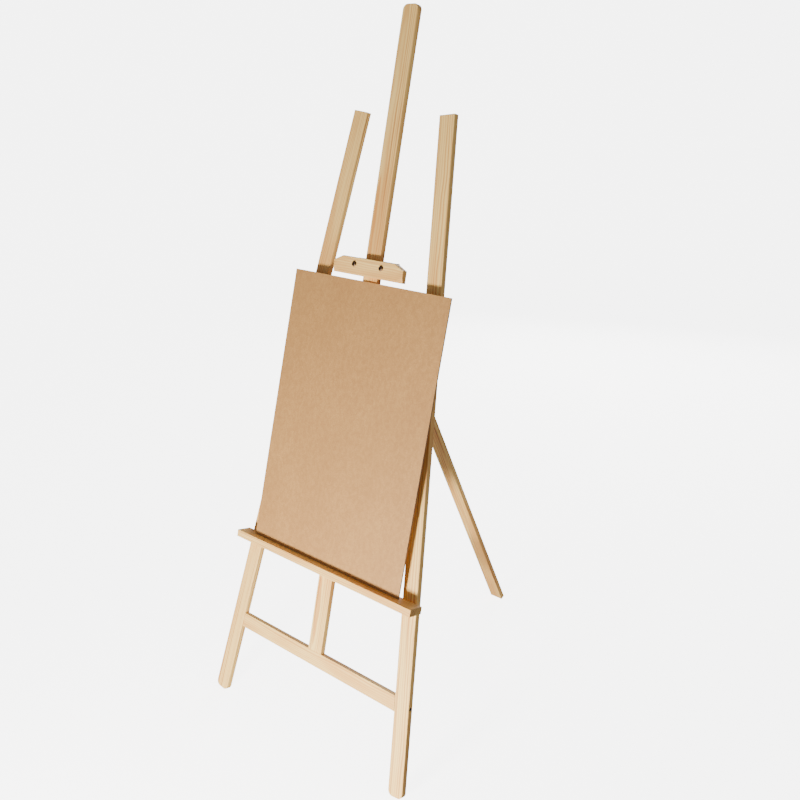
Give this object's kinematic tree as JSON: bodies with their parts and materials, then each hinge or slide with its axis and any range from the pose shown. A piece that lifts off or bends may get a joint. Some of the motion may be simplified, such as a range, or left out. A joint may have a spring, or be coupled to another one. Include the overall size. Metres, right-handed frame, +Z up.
{
  "type": "artist easel",
  "caption": "Wooden A-frame artist easel with a central mast, a hinged rear leg, a sliding canvas shelf and a top clamp, holding a flat drawing board.",
  "frame": {"origin": "the floor under the middle of the easel's box, standing open", "axes": "+Z up, -Y towards the painter, +X to the painter's right"},
  "size_m": [0.6814, 0.8568, 1.7388],
  "materials": {
    "pine": "sanded clear pine",
    "beech": "plain beech dowel",
    "hardboard": "smooth hardboard",
    "zinc_steel": "bright zinc plate",
    "bronzed_steel": "dark bronzed"
  },
  "bodies": {
    "frame": {"hinge_pin": "zinc_steel", "hinge_upper_leaf": "zinc_steel", "left_leg": "pine", "lower_rail": "pine", "lower_rail_screw_left": "zinc_steel", "lower_rail_screw_right": "zinc_steel", "mast": "pine", "mast_dowel": "beech", "mast_high_screw": "zinc_steel", "mast_low_screw": "zinc_steel", "right_leg": "pine", "upper_leaf_screw_left": "zinc_steel", "upper_leaf_screw_right": "zinc_steel", "upper_rail": "pine", "upper_rail_high_screw_left": "zinc_steel", "upper_rail_high_screw_right": "zinc_steel", "upper_rail_low_screw_left": "zinc_steel", "upper_rail_low_screw_right": "zinc_steel"},
    "rear_leg": {"hinge_lower_leaf": "zinc_steel", "lower_leaf_screw_left": "zinc_steel", "lower_leaf_screw_right": "zinc_steel", "rear_leg": "pine"},
    "clamp": {"clamp_back_plate": "pine", "clamp_front_plate": "pine", "clamp_left_bolt": "bronzed_steel", "clamp_left_washer": "zinc_steel", "clamp_right_bolt": "bronzed_steel", "clamp_right_washer": "zinc_steel"},
    "shelf": {"shelf": "pine", "shelf_back_bar": "pine", "shelf_left_stud": "zinc_steel", "shelf_left_washer": "zinc_steel", "shelf_right_stud": "zinc_steel", "shelf_right_washer": "zinc_steel"},
    "board": {"drawing_board": "hardboard"},
    "clamp_left_nut": {"clamp_left_wing_nut": "zinc_steel"},
    "clamp_right_nut": {"clamp_right_wing_nut": "zinc_steel"},
    "shelf_left_nut": {"shelf_left_wing_nut": "zinc_steel"},
    "shelf_right_nut": {"shelf_right_wing_nut": "zinc_steel"}
  },
  "joints": [
    {"name": "rear_leg_hinge", "type": "hinge", "parent": "frame", "child": "rear_leg", "pos_m": [0, -0.07676, 1.08615], "axis": [-1, 0, 0], "range_deg": [0, 40]},
    {"name": "clamp_slide", "type": "slide", "parent": "frame", "child": "clamp", "axis": [0, 0.2766, 0.961], "range_m": [-0.01, 0.57]},
    {"name": "shelf_slide", "type": "slide", "parent": "frame", "child": "shelf", "axis": [0, 0.2766, 0.961], "range_m": [-0.2, 0.01]},
    {"name": "board_lift", "type": "slide", "parent": "shelf", "child": "board", "axis": [0, -0.9545, 0.2981], "range_m": [0, 0.15]},
    {"name": "clamp_left_nut_turn", "type": "hinge", "parent": "clamp", "child": "clamp_left_nut", "pos_m": [-0.043, -0.06151, 1.15562], "axis": [0, 0.961, -0.2766], "continuous": true},
    {"name": "clamp_right_nut_turn", "type": "hinge", "parent": "clamp", "child": "clamp_right_nut", "pos_m": [0.043, -0.06151, 1.15562], "axis": [0, 0.961, -0.2766], "continuous": true},
    {"name": "shelf_left_nut_turn", "type": "hinge", "parent": "shelf", "child": "shelf_left_nut", "pos_m": [-0.039, -0.26804, 0.4382], "axis": [0, 0.961, -0.2766], "continuous": true},
    {"name": "shelf_right_nut_turn", "type": "hinge", "parent": "shelf", "child": "shelf_right_nut", "pos_m": [0.039, -0.26804, 0.4382], "axis": [0, 0.961, -0.2766], "continuous": true}
  ]
}
